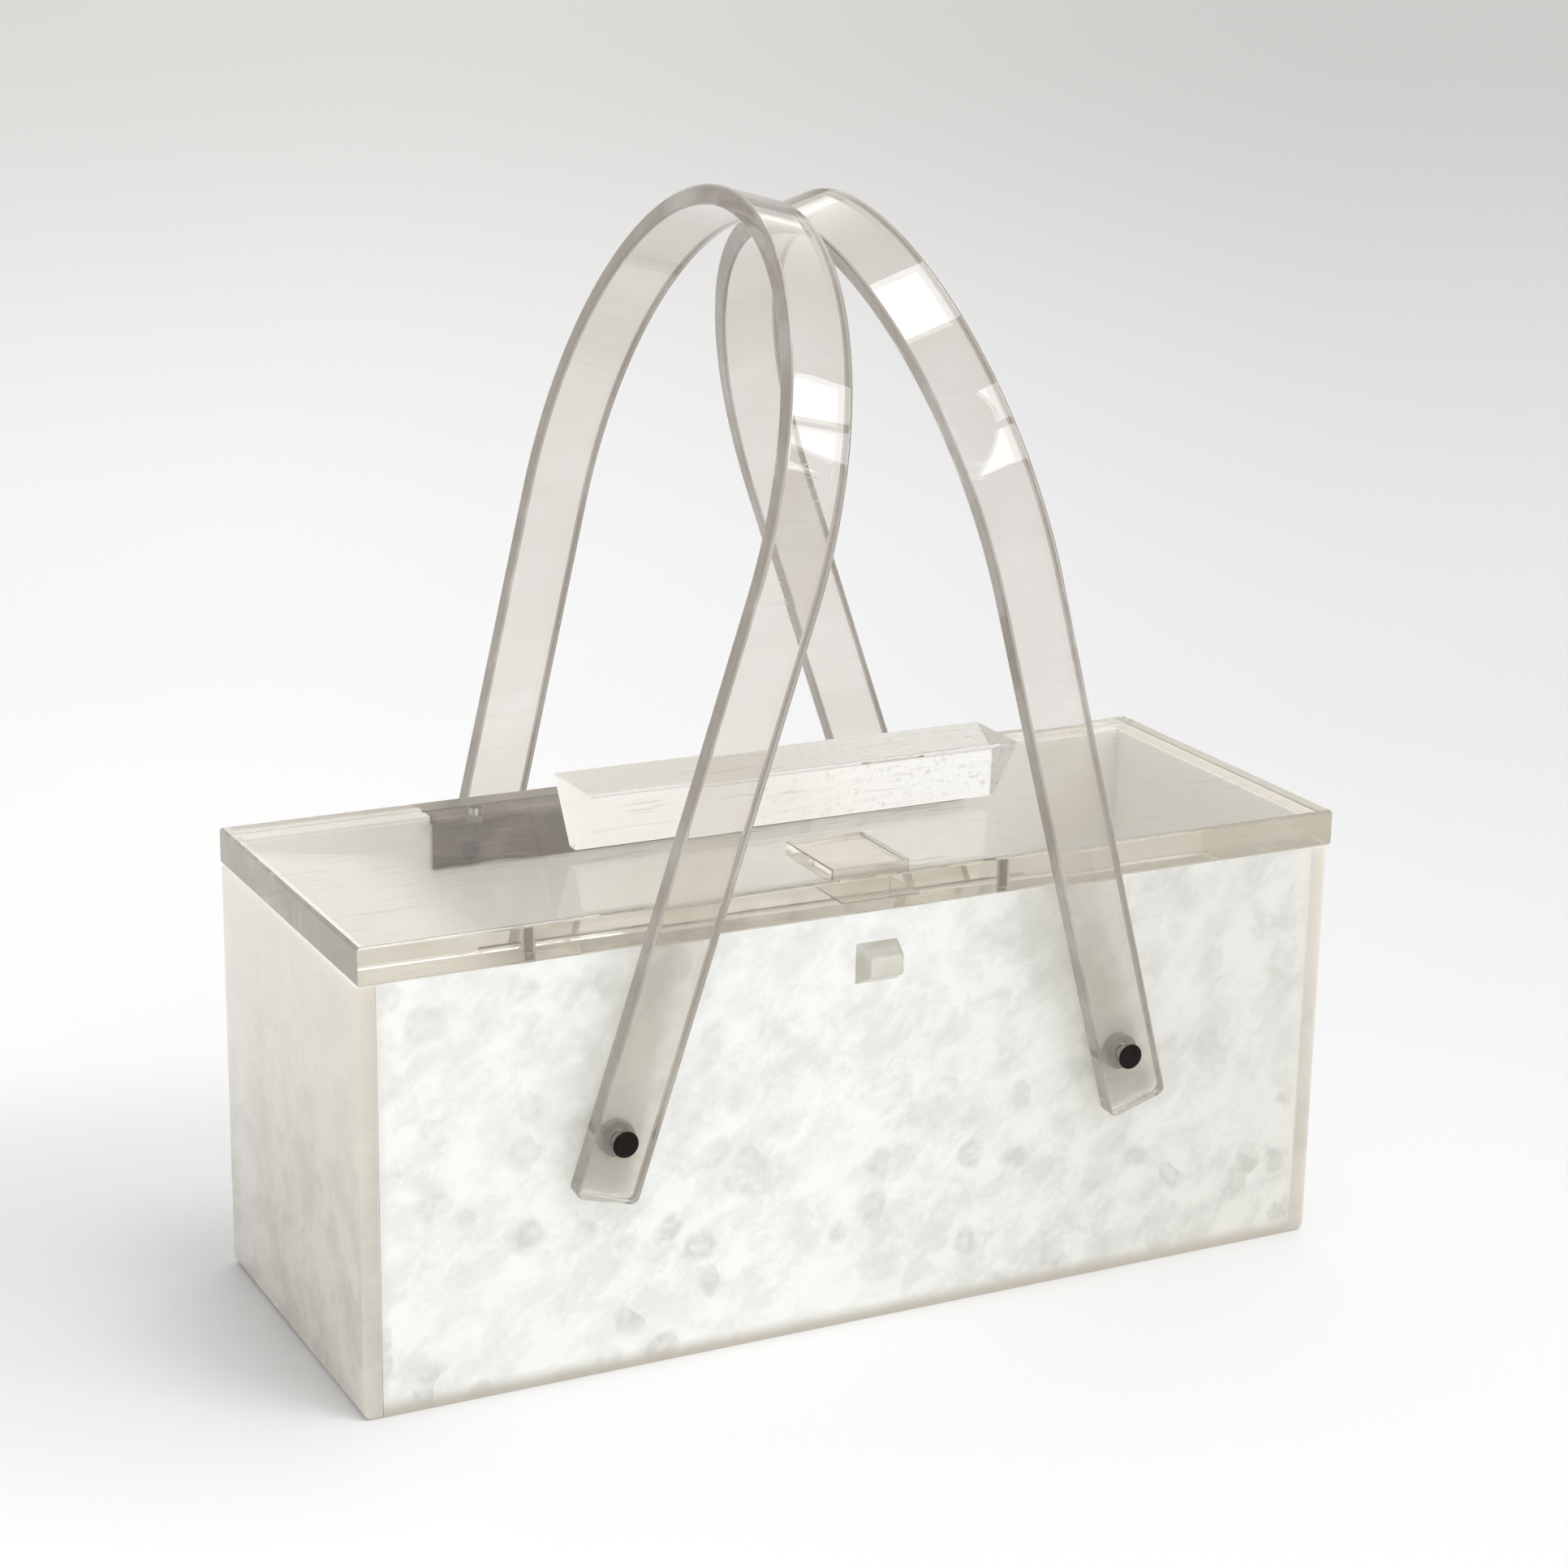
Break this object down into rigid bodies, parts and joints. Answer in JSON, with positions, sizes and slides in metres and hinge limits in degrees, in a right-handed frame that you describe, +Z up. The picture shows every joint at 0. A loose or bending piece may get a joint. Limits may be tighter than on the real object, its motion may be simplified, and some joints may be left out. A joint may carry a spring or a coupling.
{
  "type": "acrylic box handbag",
  "caption": "Hard box handbag with pearl front and back panels, a thick clear hinged lid with a lift bar, and a pair of clear arched handles that lean together.",
  "frame": {"origin": "on the floor under the middle of the case, which is also the bottom centre of the whole bag with its handles up", "axes": "+X along the case to the right, +Y from the front panel to the hinge at the back, +Z up"},
  "size_m": [0.23, 0.1196, 0.2407],
  "materials": {
    "clear_acrylic": "clear cast acrylic, polished, with fine scuffs",
    "smoky_acrylic": "cloudy beige acrylic sheet, polished",
    "pearl_acrylic": "white pearl acrylic with soft grey mottling, polished",
    "hinge_metal": "dull grey brown tarnish",
    "dark_metal": "near black, satin",
    "spacer": "grey, satin"
  },
  "bodies": {
    "case": {"end_left": "smoky_acrylic", "end_right": "smoky_acrylic", "floor_sheet": "pearl_acrylic", "front_panel": "pearl_acrylic", "back_panel": "pearl_acrylic", "front_catch": "clear_acrylic", "hinge_wall_leaf": "hinge_metal", "hinge_pin": "dark_metal", "wall_rivet_left": "dark_metal", "wall_rivet_right": "dark_metal", "pin_front_left": "dark_metal", "pin_front_right": "dark_metal", "pin_back_left": "dark_metal", "pin_back_right": "dark_metal", "spacer_front_left": "spacer", "spacer_front_right": "spacer", "spacer_back_left": "spacer", "spacer_back_right": "spacer"},
    "lid": {"lid": "clear_acrylic", "lid_bar": "clear_acrylic", "lid_tongue": "clear_acrylic", "hinge_lid_leaf": "hinge_metal", "lid_screw_left": "dark_metal", "lid_screw_right": "dark_metal"},
    "handle_left": {"handle_left": "clear_acrylic"},
    "handle_right": {"handle_right": "clear_acrylic"}
  },
  "joints": [
    {"name": "lid_hinge", "type": "hinge", "parent": "case", "child": "lid", "pos_m": [0, 0.0446, 0.09265], "axis": [-1, 0, 0], "range_deg": [0, 36]},
    {"name": "handle_left_swing", "type": "hinge", "parent": "case", "child": "handle_left", "pos_m": [-0.0604, 0, 0.054], "axis": [0, -1, 0], "range_deg": [0, 118]},
    {"name": "handle_right_swing", "type": "hinge", "parent": "case", "child": "handle_right", "pos_m": [0.0604, 0, 0.054], "axis": [0, 1, 0], "range_deg": [0, 120]}
  ]
}
